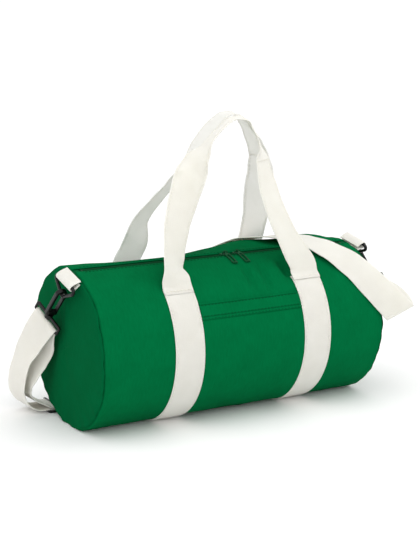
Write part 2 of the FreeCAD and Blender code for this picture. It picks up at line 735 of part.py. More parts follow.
# Tail: the doubled end of the strap, from the hook's bar down to the adjuster's bar.
tail_height = run_height + web_thick + 2 * sewn_gap + web_thick / 2
tail_top = left_bar - left_out * wrap_reach
tail_rows = [(tail_top + left_down * drop, -left_wide) for drop in (2 * run_gap, tail_straight)]
tail_rows += share_rows(tail_drop_shares)
for back in (3 * adjuster_bar, adjuster_bar / 2 + run_gap):
    tail_rows.append((Vec(adjuster_x - back, run_y, tail_height), rear_side * 1.0))
save("strap_tail", ribbon(tail_rows, web_width, web_thick, web_step))


# Adjuster: a flat frame under the web with a raised middle bar over it.
def adjuster():
    half = adjuster_length / 2
    inner = web_width / 2 + loop_play
    outer = inner + adjuster_rim
    top = run_gap + adjuster_thick
    frame = box(Vec(-half, -outer, run_gap), Vec(half, outer, top))
    frame = frame.makeFillet(adjuster_rim, [e for e in frame.Edges if abs(e.Length - adjuster_thick) < sewn_gap])
    window = box(Vec(adjuster_rim - half, -inner, 0), Vec(half - adjuster_rim, inner, top + cut_margin))
    frame = frame.cut(window)
    bar_foot = run_height + web_thick / 2 + run_gap
    bar_top = bar_foot + adjuster_thick
    bar = box(Vec(-adjuster_bar / 2, -outer, bar_foot), Vec(adjuster_bar / 2, outer, bar_top))
    bar = bar.makeFillet(adjuster_round, bar.Edges)
    frame = frame.fuse(bar)
    for side in (-1, 1):
        low = min(side * inner, side * outer)
        post = box(Vec(-adjuster_bar / 2, low, run_gap), Vec(adjuster_bar / 2, low + adjuster_rim, bar_top - adjuster_round))
        frame = frame.fuse(post)
    frame = frame.removeSplitter()
    frame.translate(Vec(adjuster_x, run_y, 0))
    return frame


save("strap_adjuster", adjuster())
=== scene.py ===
import math

import bpy
import bmesh
import numpy as np
from mathutils import Matrix


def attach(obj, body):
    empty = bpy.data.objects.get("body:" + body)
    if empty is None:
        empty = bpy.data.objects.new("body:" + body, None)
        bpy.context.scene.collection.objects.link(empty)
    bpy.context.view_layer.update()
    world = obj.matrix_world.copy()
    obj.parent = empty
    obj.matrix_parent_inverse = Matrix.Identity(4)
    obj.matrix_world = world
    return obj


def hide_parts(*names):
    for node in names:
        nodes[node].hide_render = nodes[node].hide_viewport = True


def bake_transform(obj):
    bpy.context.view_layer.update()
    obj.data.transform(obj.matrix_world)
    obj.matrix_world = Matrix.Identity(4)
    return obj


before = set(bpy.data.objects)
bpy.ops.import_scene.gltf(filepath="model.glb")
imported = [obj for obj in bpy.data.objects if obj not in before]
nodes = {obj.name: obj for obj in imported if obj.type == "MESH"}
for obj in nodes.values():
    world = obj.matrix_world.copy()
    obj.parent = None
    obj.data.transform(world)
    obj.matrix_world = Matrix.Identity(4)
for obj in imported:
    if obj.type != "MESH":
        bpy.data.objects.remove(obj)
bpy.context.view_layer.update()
scene = bpy.context.scene
mm = 0.001


# sRGB hex to linear: below 0.04045 divided by 12.92, above it the 2.4 power curve
def linear(hexColour):
    parts = np.array([int(hexColour[i:i + 2], 16) for i in (1, 3, 5)]) / 255
    low = parts / 12.92
    high = ((parts + 0.055) / 1.055) ** 2.4
    return tuple(np.where(parts <= 0.04045, low, high)) + (1.0,)


# one node: a setting is a property or a free socket, a link joins a socket to another node's output;
# sockets go by name, or by number where two share a name
def addNode(tree, kind, settings=None, links=None):
    node = tree.nodes.new(kind)
    for key, value in (settings or {}).items():
        if isinstance(key, str) and key not in node.inputs:
            setattr(node, key, value)
        else:
            node.inputs[key].default_value = value
    for key, (source, output) in (links or {}).items():
        tree.links.new(source.outputs[output], node.inputs[key])
    return node


# an empty material and its node tree
def newMaterial(name):
    material = bpy.data.materials.new(name)
    material.use_nodes = True
    material.node_tree.nodes.clear()
    return material, material.node_tree


# a wave texture repeats every pi/10 divided by its scale
def waveScale(spacing):
    return math.pi / 10 / spacing


# vectors divided by their lengths, one vector or one for each row
def unit(vectors):
    return vectors / np.linalg.norm(vectors, axis=-1, keepdims=True)


# quads between neighbours of a rows x cols grid; a wrapped way closes on itself
def gridQuads(rows, cols, wrapRows=False, wrapCols=False):
    i, j = np.meshgrid(np.arange(rows - (not wrapRows)), np.arange(cols - (not wrapCols)), indexing="ij")
    nextI = (i + 1) % rows
    nextJ = (j + 1) % cols
    corners = [i * cols + j, nextI * cols + j, nextI * cols + nextJ, i * cols + nextJ]
    return np.stack(corners, -1).reshape(-1, 4)


weldGap = 0.02  # mm


# points in mm as one mesh, welded where rows meet, on a body, with a material; the parts it stands in for are
# hidden
def addPiece(name, points, quads, uv, material, body, stands=(), thickness=0.0):
    mesh = bpy.data.meshes.new(name)
    mesh.from_pydata((points.reshape(-1, 3) * mm).tolist(), [], quads.tolist())
    layer = mesh.uv_layers.new(name="cut")
    corners = np.zeros(len(mesh.loops), np.int32)
    mesh.loops.foreach_get("vertex_index", corners)
    layer.data.foreach_set("uv", uv.reshape(-1, 2)[corners].astype(np.float32).ravel())
    work = bmesh.new()
    work.from_mesh(mesh)
    bmesh.ops.remove_doubles(work, verts=work.verts, dist=weldGap * mm)
    work.to_mesh(mesh)
    work.free()
    mesh.polygons.foreach_set("use_smooth", np.ones(len(mesh.polygons), bool))
    mesh.materials.append(material)
    piece = bpy.data.objects.new(name, mesh)
    scene.collection.objects.link(piece)
    if thickness:
        wall = piece.modifiers.new("wall", "SOLIDIFY")
        wall.thickness = thickness * mm
        wall.offset = -1
    if body:
        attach(piece, body)
    if stands:
        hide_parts(*stands)
    return piece


# weave: waves along the two ways of the cut, multiplied into a bump of a given rise
def weaveBump(tree, place, spacingX, spacingY, strength, rise):
    warp = addNode(tree, "ShaderNodeTexWave", {"bands_direction": "X", "Scale": waveScale(spacingX)},
                   {"Vector": (place, "UV")})
    weft = addNode(tree, "ShaderNodeTexWave", {"bands_direction": "Y", "Scale": waveScale(spacingY)},
                   {"Vector": (place, "UV")})
    weave = addNode(tree, "ShaderNodeMath", {"operation": "MULTIPLY"}, {0: (warp, "Fac"), 1: (weft, "Fac")})
    return addNode(tree, "ShaderNodeBump", {"Strength": strength, "Distance": rise * mm},
                   {"Height": (weave, "Value")})


# cotton canvas, woven plain and dyed in the piece: dead matt, faint mottling; the end panels' darker copy is
# painted shade;
# threads of 0.6 mm are drawn 1.6 mm apart so that they show
canvasLook = {"light": "#00693a", "deep": "#006034", "shadedLight": "#005c33", "shadedDeep": "#00552e",
              "thread": 1.6, "bump": 0.25, "threadRise": 0.3, "mottle": 40.0, "slubWide": 2.4,
              "slubLong": 14.0, "blend": (0.7, 1.3), "roughness": 0.95, "shine": 0.02}


def wovenCanvas(name, light, deep):
    material, tree = newMaterial(name)
    place = addNode(tree, "ShaderNodeUVMap", {"uv_map": "cut"})
    mottle = addNode(tree, "ShaderNodeTexNoise", {"Scale": 1 / canvasLook["mottle"], "Detail": 4.0},
                     {"Vector": (place, "UV")})
    # slubs: uneven threads, drawn a few mm wide along the girth so that they show
    slubScale = (1 / canvasLook["slubWide"], 1 / canvasLook["slubLong"], 1)
    slubPlace = addNode(tree, "ShaderNodeMapping", {"Scale": slubScale}, {"Vector": (place, "UV")})
    slub = addNode(tree, "ShaderNodeTexNoise", {"Scale": 1.0, "Detail": 2.0},
                   {"Vector": (slubPlace, "Vector")})
    both = addNode(tree, "ShaderNodeMath", {"operation": "ADD"}, {0: (mottle, "Fac"), 1: (slub, "Fac")})
    blendFrom, blendTo = canvasLook["blend"]
    blend = addNode(tree, "ShaderNodeMapRange", {"From Min": blendFrom, "From Max": blendTo},
                    {"Value": (both, "Value")})
    colour = addNode(tree, "ShaderNodeMix", {"data_type": "RGBA", 6: linear(deep), 7: linear(light)},
                     {"Factor": (blend, "Result")})
    bump = weaveBump(tree, place, canvasLook["thread"], canvasLook["thread"], canvasLook["bump"],
                     canvasLook["threadRise"])
    shader = addNode(tree, "ShaderNodeBsdfPrincipled",
                     {"Roughness": canvasLook["roughness"], "Specular IOR Level": canvasLook["shine"]},
                     {"Base Color": (colour, 2), "Normal": (bump, "Normal")})
    addNode(tree, "ShaderNodeOutputMaterial", None, {"Surface": (shader, "BSDF")})
    return material


canvas = wovenCanvas("cotton canvas, plain woven", canvasLook["light"], canvasLook["deep"])
# the end panels get a darker copy of the same canvas: painted shade, not a different cloth
shadedEndCanvas = wovenCanvas("cotton canvas, painted shade for the end panels", canvasLook["shadedLight"],
                           canvasLook["shadedDeep"])

# cotton strap webbing, woven ribbed and unbleached: soft cream, ribs across, glowing where light comes
# through; ribs of 1.2 mm are drawn 2.4 mm apart so that they show
webLook = {"light": "#e3e1d9", "deep": "#dad7ce", "cloud": 30.0, "rib": 2.4, "cord": 4.2, "bump": 0.3,
           "ribRise": 0.4, "roughness": 0.92, "shine": 0.08, "glow": 0.95, "reach": 4.0, "farReach": 13.0}


def ribbedWebbing(name, glowReach):
    material, tree = newMaterial(name)
    place = addNode(tree, "ShaderNodeUVMap", {"uv_map": "cut"})
    cloud = addNode(tree, "ShaderNodeTexNoise", {"Scale": 1 / webLook["cloud"], "Detail": 3.0},
                    {"Vector": (place, "UV")})
    colour = addNode(tree, "ShaderNodeMix",
                     {"data_type": "RGBA", 6: linear(webLook["deep"]), 7: linear(webLook["light"])},
                     {"Factor": (cloud, "Fac")})
    bump = weaveBump(tree, place, webLook["cord"], webLook["rib"], webLook["bump"], webLook["ribRise"])
    shader = addNode(tree, "ShaderNodeBsdfPrincipled",
                     {"Roughness": webLook["roughness"], "Specular IOR Level": webLook["shine"],
                      "Subsurface Weight": webLook["glow"], "Subsurface Radius": (1.0, 1.0, 1.0),
                      "Subsurface Scale": glowReach * mm},
                     {"Base Color": (colour, 2), "Normal": (bump, "Normal")})
    addNode(tree, "ShaderNodeOutputMaterial", None, {"Surface": (shader, "BSDF")})
    return material


webbing = ribbedWebbing("cotton webbing, ribbed", webLook["reach"])
# the rear handle stands free against the light, which comes through it
backlitWebbing = ribbedWebbing("cotton webbing, ribbed and lit through", webLook["farReach"])

plainLook = {"detail": 3.0, "bump": 0.08, "grainRise": 0.1}


# plain moulded, lacquered or spun finishes: one colour broken by fine noise, with its own gloss; grain in mm
def plainFinish(name, light, deep, roughness, grain, shine):
    material, tree = newMaterial(name)
    place = addNode(tree, "ShaderNodeTexCoord")
    noise = addNode(tree, "ShaderNodeTexNoise", {"Scale": 1 / (grain * mm), "Detail": plainLook["detail"]},
                    {"Vector": (place, "Object")})
    colour = addNode(tree, "ShaderNodeMix", {"data_type": "RGBA", 6: linear(deep), 7: linear(light)},
                     {"Factor": (noise, "Fac")})
    bump = addNode(tree, "ShaderNodeBump",
                   {"Strength": plainLook["bump"], "Distance": plainLook["grainRise"] * mm},
                   {"Height": (noise, "Fac")})
    shader = addNode(tree, "ShaderNodeBsdfPrincipled", {"Roughness": roughness, "Specular IOR Level": shine},
                     {"Base Color": (colour, 2), "Normal": (bump, "Normal")})
    addNode(tree, "ShaderNodeOutputMaterial", None, {"Surface": (shader, "BSDF")})
    return material


# acetal gives black with small sharp lights, lacquer a deep satin green, teeth and threads a dull sheen
acetal = plainFinish("black acetal, moulded", "#08080a", "#030304",
                     roughness=0.28, grain=0.6, shine=0.3)
lacquer = plainFinish("zinc casting, green lacquer", "#004f2a", "#003d20",
                      roughness=0.5, grain=0.8, shine=0.12)
teethLook = plainFinish("acetal zip teeth, dyed green", "#004d29", "#003a1e",
                        roughness=0.6, grain=0.5, shine=0.08)
greenThread = plainFinish("polyester thread, green", "#004f2a", "#003d20",
                          roughness=0.7, grain=0.4, shine=0.05)
creamThread = plainFinish("polyester thread, cream", "#f3f0e6", "#dcd8ca",
                          roughness=0.7, grain=0.4, shine=0.05)
bindingLook = plainFinish("folded seam tape, green", "#006035", "#004d29",
                          roughness=0.8, grain=1.2, shine=0.05)
hardware = [
    (acetal, ["left_ring", "right_ring", "left_hook", "right_hook", "left_hook_gate", "right_hook_gate",
              "left_strap_loop", "right_strap_loop", "strap_adjuster"]),
    (lacquer, ["left_zip_slider", "right_zip_slider", "left_zip_pull", "right_zip_pull", "zip_end_stops"]),
]
for look, names in hardware:
    for name in names:
        nodes[name].data.materials.clear()
        nodes[name].data.materials.append(look)
print("materials: canvas, webbing, thread and hardware finishes")

barrel = {"radius": 127.0, "halfLength": 250.0, "axisHeight": 121.79, "zipAngle": 10.0, "zipCalm": 14.0,
          "slotHalf": 6.5, "wall": 1.6, "endTuck": 7.0, "tuckRun": 4.2, "endCalm": 30.0, "wave": 0.5,
          "waveRun": 23.0, "ripple": 0.3, "rippleRun": 11.0, "finePucker": 0.3, "widePucker": 0.2,
          "puckerRun": 16.0, "wanderRun": 20.0, "floorSoft": 0.6, "bandCover": 27.0, "bandRoom": 2.0,
          "columns": 220, "rings": 200}
# swells of the filled canvas: x and its spread, angle from the top and its spread, height, in mm and degrees
swells = [
    (85, 66, -20, 18, 11.0), (192, 40, -12, 22, 9.5), (-115, 66, -10, 16, -9.0), (-60, 50, -30, 20, -1.5),
    (60, 70, 110, 40, 1.5), (-190, 40, 60, 40, 1.2), (195, 40, 70, 40, 1.5),
    (93, 7, 35, 8, -10.0), (76, 9, 35, 10, 3.0), (24, 6, 38, 12, -6.0), (52, 6, 41, 13, -6.5),
    (-20, 12, 35, 16, -1.0), (-160, 16, 34, 14, -1.4), (170, 12, 52, 16, -1.4), (-60, 10, 42, 12, -1.2),
]
bandCentres = (-109.0, 121.0)
# waves of a hand-guided seam: height in mm, number around the barrel, start in radians
seamWaves = [(0.9, 5, 0.6), (0.4, 11, 2.0), (0.25, 29, 0.0)]


# wander of a seam along the barrel: the sum of its sine waves
def seamWander(turn):
    return sum(height * np.sin(count * turn + start) for height, count, start in seamWaves)


# puckers around a seam: 31 bunched fine waves and 17 wide ones, dying away from the seam exponentially
def seamPucker(inset, turn, run, fine, wide):
    fineWaves = fine * np.sin(31 * turn + 2 * np.sin(3 * turn))
    return np.exp(-inset / run) * (fineWaves + wide * np.sin(17 * turn + 1))


# radial swell: a sum of bell curves plus low waves, none along the zip so that its sliders run true,
# and a tuck by a square law and puckers near the two end seams
def canvasSwell(x, angle):
    total = np.zeros(np.broadcast(x, angle).shape)
    for xMid, xSpread, angleMid, angleSpread, height in swells:
        turn = (angle - angleMid + 180) % 360 - 180
        total = total + height * np.exp(-((x - xMid) / xSpread) ** 2 - (turn / angleSpread) ** 2)
    turn = np.radians(angle)
    total = total + barrel["wave"] * np.sin(x / barrel["waveRun"] + 2 * turn) * np.sin(3 * turn + 0.7)
    total = total + barrel["ripple"] * np.sin(x / barrel["rippleRun"] - 5 * turn)
    fromZip = (angle - barrel["zipAngle"] + 180) % 360 - 180
    total = total * (1 - np.exp(-(fromZip / barrel["zipCalm"]) ** 4))
    inset = barrel["halfLength"] - np.abs(x)
    pucker = seamPucker(inset, turn, barrel["puckerRun"], barrel["finePucker"], barrel["widePucker"])
    tuck = barrel["endTuck"] * np.clip(1 - inset / barrel["tuckRun"], 0, 1) ** 2
    fade = np.clip(inset / barrel["endCalm"], 0, 1)
    return total * fade * fade * (3 - 2 * fade) + pucker - tuck


# height held above the floor by a soft-plus curve
def aboveFloor(z, floor=0.0):
    soft = barrel["floorSoft"]
    return floor + soft * np.logaddexp(0, (z - floor) / soft)


# point on the barrel: angle from the top toward the front, flattened softly where it meets the floor
def barrelPoint(x, angle, lift, floor=0.0):
    x, angle, lift, floor = np.broadcast_arrays(x, angle, lift, floor)
    reach = barrel["radius"] + canvasSwell(x, angle) + lift
    turn = np.radians(angle)
    nearSeam = np.exp((np.abs(x) - barrel["halfLength"]) / barrel["wanderRun"])
    x = x + np.sign(x) * seamWander(turn) * nearSeam
    z = barrel["axisHeight"] + reach * np.cos(turn)
    return np.stack([x, -reach * np.sin(turn), aboveFloor(z, floor)], -1)


slotAngle = math.degrees(barrel["slotHalf"] / barrel["radius"])
# columns crowd toward the end seams
x = barrel["halfLength"] * np.sin(np.linspace(-math.pi / 2, math.pi / 2, barrel["columns"]))
angle = np.linspace(barrel["zipAngle"] + slotAngle, 360 + barrel["zipAngle"] - slotAngle, barrel["rings"])
gridX, gridAngle = np.meshgrid(x, angle, indexing="ij")
underBand = np.min([np.abs(gridX - centre) for centre in bandCentres], axis=0) < barrel["bandCover"]
points = barrelPoint(gridX, gridAngle, 0.0, np.where(underBand, barrel["bandRoom"], 0.0))
uv = np.stack([gridX, np.radians(gridAngle) * barrel["radius"]], -1)
barrelPiece = addPiece("canvasBarrel", points, gridQuads(*gridX.shape)[:, ::-1], uv, canvas, "bag",
                       ["barrel_panel"], barrel["wall"])

# end panels: polar grids with a shallow dome, a rolled rim and puckers at the seam
endPanel = {"dome": 5.0, "rim": 252.2, "rimInset": 2.2, "rings": 56, "spokes": 260, "hub": 0.001, "roll": 4.5,
            "rollRun": 6.0, "finePucker": 0.6, "widePucker": 0.5, "puckerRun": 18.0, "gather": 1.3,
            "gatherRun": 50.0, "gatherTurn": 0.8, "wave": 0.9, "ripple": 0.6, "wall": 1.6}


# reach share from hub to rim and turn; bulge falls with the square of the share, the rim rolls back by a
# square law, gathers hang from the top as a sine under a bell curve, and the middle waves a little
def endPanelPoints(side):
    share, turn = np.meshgrid(np.sin(np.linspace(endPanel["hub"], math.pi / 2, endPanel["rings"])),
                              np.linspace(-math.pi, math.pi, endPanel["spokes"]), indexing="ij")
    reach = share * (barrel["radius"] - endPanel["rimInset"])
    inset = barrel["radius"] - reach
    roll = endPanel["roll"] * np.clip(1 - inset / endPanel["rollRun"], 0, 1) ** 2
    pucker = seamPucker(inset, turn, endPanel["puckerRun"], endPanel["finePucker"], endPanel["widePucker"])
    hang = np.exp(-inset / endPanel["gatherRun"] - (turn / endPanel["gatherTurn"]) ** 2)
    gather = endPanel["gather"] * hang * np.sin(13 * turn + 1.5 * np.sin(4 * turn))
    wave = endPanel["wave"] * np.sin(2 * turn + 0.6 * side) + endPanel["ripple"] * np.sin(5 * turn + 2)
    wave = (1 - share) * share * 4 * wave
    wander = seamWander(turn) * np.exp(-inset / barrel["wanderRun"])
    out = endPanel["rim"] + endPanel["dome"] * (1 - share ** 2) + (wave + gather) - roll + pucker + wander
    y = -reach * np.sin(turn)
    z = aboveFloor(barrel["axisHeight"] + reach * np.cos(turn))
    return np.stack([side * out, y, z], -1), np.stack([y, z], -1)


for side, name in ((-1, "left"), (1, "right")):
    points, uv = endPanelPoints(side)
    quads = gridQuads(*points.shape[:2])
    # the end panels take the darker canvas copy, which is painted shade
    panel = addPiece(name + "EndPanel", points, quads if side > 0 else quads[:, ::-1], uv, shadedEndCanvas,
                     "bag", [name + "_end_panel"], endPanel["wall"])
    across = 2 * barrel["radius"] * mm

# seam tapes: a folded strip inside each end seam, its section rounded along both edges by a root law
seamTape = {"width": 12.0, "depth": 2.3, "thick": 1.2, "rings": 180, "sectionPoints": 16, "roundness": 0.4,
            "floor": 2.6}
for side, name in ((-1, "left"), (1, "right")):
    section = np.linspace(0, 2 * math.pi, seamTape["sectionPoints"] + 1)[:-1]
    half = seamTape["width"] / 2
    spread = barrel["halfLength"] - half + half * np.cos(section)
    rounded = np.sign(np.sin(section)) * np.abs(np.sin(section)) ** seamTape["roundness"]
    depth = -seamTape["depth"] - seamTape["thick"] / 2 * (1 - rounded)
    turn = np.linspace(0, 360, seamTape["rings"], endpoint=False)
    gridX, gridAngle = np.meshgrid(side * spread, turn, indexing="ij")
    points = barrelPoint(gridX, gridAngle, depth[:, None], seamTape["floor"])
    quads = gridQuads(*gridX.shape, wrapRows=True, wrapCols=True)
    uv = np.stack([gridX, gridAngle], -1)
    addPiece(name + "SeamTape", points, quads if side < 0 else quads[:, ::-1], uv, bindingLook, "bag",
             [name + "_seam_binding"])

# pocket patch and its doubled hem, lying on the barrel between the bands; rows are finer as far as fineTo
pocket = {"left": -83.6, "right": 95.6, "top": 56.0, "foot": 150.0, "hem": 68.0, "fineTo": 70.0,
          "coarseFrom": 71.0, "lift": 1.7, "hemLift": 1.0, "topRun": 0.5, "hemRun": 0.2, "crease": 1.4,
          "creaseRun": 0.35, "creaseAngles": (57.6, 66.0, 68.2), "thick": 1.0, "columns": 90, "rings": 60,
          "hemRings": 80}
downHem = np.linspace(pocket["top"], pocket["fineTo"], pocket["hemRings"])
downPatch = np.linspace(pocket["coarseFrom"], pocket["foot"], pocket["rings"])
across, down = np.meshgrid(np.linspace(pocket["left"], pocket["right"], pocket["columns"]),
                           np.concatenate([downHem, downPatch]), indexing="ij")
# the patch rises from its top edge by a square root and steps down below the hem by a logistic curve
topRise = np.clip((down - pocket["top"]) / pocket["topRun"], 0, 1)
hemDrop = 1 / (1 + np.exp((down - pocket["hem"]) / pocket["hemRun"]))
lift = topRise ** 0.5 * (pocket["lift"] + pocket["hemLift"] * hemDrop)
# each sewn line draws the cloth in along a narrow bell curve
for line in pocket["creaseAngles"]:
    lift = lift - pocket["crease"] * np.exp(-((down - line) / pocket["creaseRun"]) ** 2)
points = barrelPoint(across, down, lift)
uv = np.stack([across, np.radians(down) * barrel["radius"]], -1)
patch = addPiece("pocketPatch", points, gridQuads(*across.shape)[:, ::-1], uv, canvas, "bag",
                 ["front_pocket"], pocket["thick"])
print("canvas: barrel, end panels and pocket")


# closed cross-section of a web, flat with round edges: places across the width and through the thickness
def webSection(width, thick, flat=9, edge=5):
    half = width / 2 - thick / 2
    row = np.linspace(-half, half, flat)
    turn = np.linspace(-math.pi / 2, math.pi / 2, edge + 2)[1:-1]
    edgeOut, edgeUp = thick / 2 * np.cos(turn), thick / 2 * np.sin(turn)
    across = np.concatenate([row, half + edgeOut, row[::-1], -half - edgeOut])
    height = np.concatenate([np.full(flat, -thick / 2), edgeUp, np.full(flat, thick / 2), -edgeUp])
    return across, height


# cubic curve through rows of place and width direction; slopes are weighted by the chords on both sides
def smoothRows(rows, step):
    rows = np.asarray(rows, float)
    place = rows[:, :3]
    side = unit(rows[:, 3:])
    chord = np.linalg.norm(np.diff(place, axis=0), axis=1)
    heading = np.diff(place, axis=0) / chord[:, None]
    inner = heading[:-1] * chord[1:, None] + heading[1:] * chord[:-1, None]
    inner = inner / (chord[:-1] + chord[1:])[:, None]
    slope = np.vstack([heading[:1], inner, heading[-1:]])
    run = np.concatenate([[0], np.cumsum(chord)])
    s = np.linspace(0, run[-1], max(2, int(run[-1] / step)) + 1)
    i = np.clip(np.searchsorted(run, s, "right") - 1, 0, len(chord) - 1)
    c = chord[i][:, None]
    t = ((s - run[i]) / chord[i])[:, None]
    u = 1 - t
    start, end = u * u * (1 + 2 * t), t * t * (1 + 2 * u)
    centre = place[i] * start + place[i + 1] * end + (slope[i] * (u * u * t) - slope[i + 1] * (t * t * u)) * c
    way = (place[i + 1] - place[i]) * (6 * t * u / c)
    way = way + slope[i] * (u * (1 - 3 * t)) + slope[i + 1] * (t * (3 * t - 2))
    return centre, unit(way), side[i] * start + side[i + 1] * end


web = {"width": 50.0, "thick": 2.0, "step": 3.0}


# web along rows: section places times width and normal directions, square to the run or on the rows' slant
def webPoints(rows, width, thick, step, slant=False):
    centre, way, side = smoothRows(rows, step)
    level = side - way * np.sum(side * way, 1, keepdims=True)
    side = (side if slant else level) / np.linalg.norm(level, axis=1, keepdims=True)
    up = unit(np.cross(way, side))
    across, height = webSection(width, thick)
    body = centre[:, None] + side[:, None] * across[None, :, None] + up[:, None] * height[None, :, None]
    caps = centre[[0, -1]][:, None] + side[[0, -1]][:, None] * across[None, :, None]
    points = np.concatenate([caps[:1], body, caps[1:]])
    s = np.concatenate([[0], np.cumsum(np.linalg.norm(np.diff(centre, axis=0), axis=1))])
    s = np.concatenate([[s[0]], s, [s[-1]]])
    uv = np.stack(np.broadcast_arrays(across[None, :], s[:, None]), -1)
    return points, uv, (centre, side, up)


# rows of place and width direction, all with one direction
def withSide(places, side):
    return np.column_stack([places, np.tile(side, (len(places), 1))])


# a web piece along its rows; gives back its middle line with the width and normal directions
def addWeb(name, rows, body, stands, slant=False, step=web["step"], material=webbing):
    points, uv, line = webPoints(rows, web["width"], web["thick"], step, slant)
    quads = gridQuads(*points.shape[:2], wrapCols=True)
    addPiece(name, points, quads, uv, material, body, stands)
    return line


# bands: the web section laid on the barrel from joint to joint under the bag
band = {"top": 43.0, "step": 2.0, "lift": 1.2, "thick": 1.8, "floor": 0.9}
for name, centre in zip(("left", "right"), bandCentres):
    across, height = webSection(web["width"], band["thick"])
    turn = np.arange(band["top"], 360 - band["top"] + band["step"] / 2, band["step"])
    turn = np.concatenate([turn[:1], turn, turn[-1:]])
    inner = np.ones((len(turn), 1))
    inner[[0, -1]] = 0  # the end rows close the section
    height = height[None, :] * inner
    points = barrelPoint(centre + across[None, :], turn[:, None], band["lift"] + height,
                         band["floor"] - height)
    uv = np.stack(np.broadcast_arrays(across[None, :], np.radians(turn)[:, None] * barrel["radius"]), -1)
    addPiece(name + "WebBand", points, gridQuads(*points.shape[:2], wrapCols=True), uv, webbing, "bag",
             [name + "_web_band"])

# handles: shares of half the web pitch, of the joint's depth and of the rise, then the turn of the width
handle = {"shift": 6.0, "halfPitch": 115.0, "jointY": 87.32, "jointZ": 218.77, "rise": 243.0,
          "lapAngles": (47.5, 44.5), "leftLap": (1.7, 3.0), "rightLap": (2.9, 3.3), "bendBelow": 3.0,
          "bendAbove": 16.0}
frontHandleShares = [
    (-1.000, 1.000, 0.000, 0), (-1.000, 0.972, 0.032, -4), (-1.010, 0.905, 0.115, -30),
    (-0.975, 0.840, 0.195, -24), (-0.870, 0.700, 0.370, -12), (-0.700, 0.560, 0.540, 2),
    (-0.560, 0.450, 0.655, 24), (-0.425, 0.350, 0.755, 68), (-0.230, 0.300, 0.850, 110),
    (-0.020, 0.290, 0.938, 116), (0.170, 0.285, 0.990, 116), (0.357, 0.285, 0.985, 116),
    (0.496, 0.285, 0.914, 116), (0.600, 0.285, 0.815, 122), (0.635, 0.320, 0.712, 146),
    (0.675, 0.490, 0.507, 158), (0.800, 0.735, 0.269, 164), (0.930, 0.900, 0.115, 176),
    (1.000, 0.970, 0.035, 180), (1.000, 1.000, 0.000, 180),
]
rearHandleShares = [
    (-1.000, -1.000, 0.000, 180), (-1.000, -0.966, 0.030, 179), (-0.930, -0.820, 0.150, 177),
    (-0.915, -0.630, 0.314, 153), (-0.705, -0.480, 0.463, 147), (-0.520, -0.400, 0.563, 143),
    (-0.310, -0.345, 0.705, 117), (-0.087, -0.320, 0.836, 97), (0.122, -0.320, 0.938, 94),
    (0.335, -0.320, 1.006, 102), (0.500, -0.320, 1.000, 108), (0.665, -0.320, 0.920, 100),
    (0.795, -0.320, 0.820, 88), (0.885, -0.325, 0.720, 80), (0.930, -0.365, 0.622, 64),
    (0.965, -0.490, 0.458, 34), (0.985, -0.645, 0.294, 2), (0.990, -0.805, 0.150, 0),
    (1.000, -0.970, 0.030, 0), (1.000, -1.000, 0.000, 0),
]


# rows of a handle: shares times the sizes, width turned from +X toward the front, and a lap on the band
# at both ends
def handleRows(shares, front):
    xShare, yShare, zShare, turn = np.array(shares).T
    turn = np.radians(turn)
    rise = np.stack([handle["shift"] + xShare * handle["halfPitch"], -yShare * handle["jointY"],
                     handle["jointZ"] + zShare * handle["rise"], np.cos(turn), -np.sin(turn), 0 * turn], -1)
    laps = front * np.array(handle["lapAngles"], float)
    start = withSide(barrelPoint(rise[0, 0], laps, handle["leftLap"]), rise[0, 3:])
    end = withSide(barrelPoint(rise[-1, 0], laps[::-1], handle["rightLap"][::-1]), rise[-1, 3:])
    return np.vstack([start, rise, end])


# a handle is sewn to the bag below its joint and swings above it
def addHandle(name, shares, front, body, material):
    line = addWeb(name, handleRows(shares, front), None, [body], material=material)
    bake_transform(bpy.data.objects[name])
    return line


frontLine = addHandle("frontHandle", frontHandleShares, 1, "front_handle", webbing)
rearLine = addHandle("rearHandle", rearHandleShares, -1, "rear_handle", backlitWebbing)

# ring tabs: from the seam around the ring's bar and back, all turned about the barrel's axis
tab = {"turn": {-1: 15.0, 1: 11.0}, "seamX": 253.4, "seamTop": 247.0, "foot": 254.2, "footTop": 241.6,
       "barX": 266.2, "barZ": {-1: 236.29, 1: 249.79}, "loop": 4.0, "step": 1.5}


# a straight run to the bar, a half circle about it and a straight run back
def tabRows(side):
    hub = np.array([side * tab["barX"], 0, tab["barZ"][side]])
    top = np.array([side * tab["seamX"], 0, tab["seamTop"]])
    foot = np.array([side * tab["foot"], 0, tab["footTop"]])
    way = unit(hub - (top + foot) / 2)
    out = np.cross(way, [0, 1, 0]) * side
    swing = np.radians(np.arange(-90, 91, 30))[:, None]
    around = hub + way * tab["loop"] * np.cos(swing) - out * tab["loop"] * np.sin(swing)
    places = np.vstack([top, around, foot])
    turn = math.radians(tab["turn"][side])
    y = places[:, 1] - (places[:, 2] - barrel["axisHeight"]) * math.sin(turn)
    z = barrel["axisHeight"] + (places[:, 2] - barrel["axisHeight"]) * math.cos(turn)
    return withSide(np.column_stack([places[:, 0], y, z]), [0, math.cos(turn), math.sin(turn)])


for side, name in ((-1, "left"), (1, "right")):
    addWeb(name + "RingTab", tabRows(side), "bag", [name + "_ring_tab"], step=tab["step"])

# shoulder strap: a turn about the left hook's bar, the drop, the floor run, the climb, the wrap over the
# barrel, the fold and a turn about the right hook's bar
strap = {"reach": 3.4, "runY": 100.97, "runZ": 4.5, "runStart": -253.0, "runEnd": -134.0, "runLead": 5.0,
         "wrapLift": 2.0, "zipLift": 10.0, "clear": 2.2, "probe": 14.0, "foldReach": 4.0, "foldTurn": 98.0,
         "straightEnd": 20.0, "sewnBack": 17.0, "sewnGap": 2.3, "tailLead": (0.6, 9.0), "barSteps": 6,
         "foldSteps": 5, "step": 2.5}
leftBar = {"place": (-277.318, 20.966, 164.049), "up": (0.12613, -0.6405, 0.75752),
           "wide": (0.28342, -0.70853, -0.64627)}
rightBar = {"place": (290.121, -49.526, 170.244), "wide": (-0.93672, -0.24684, -0.24826)}
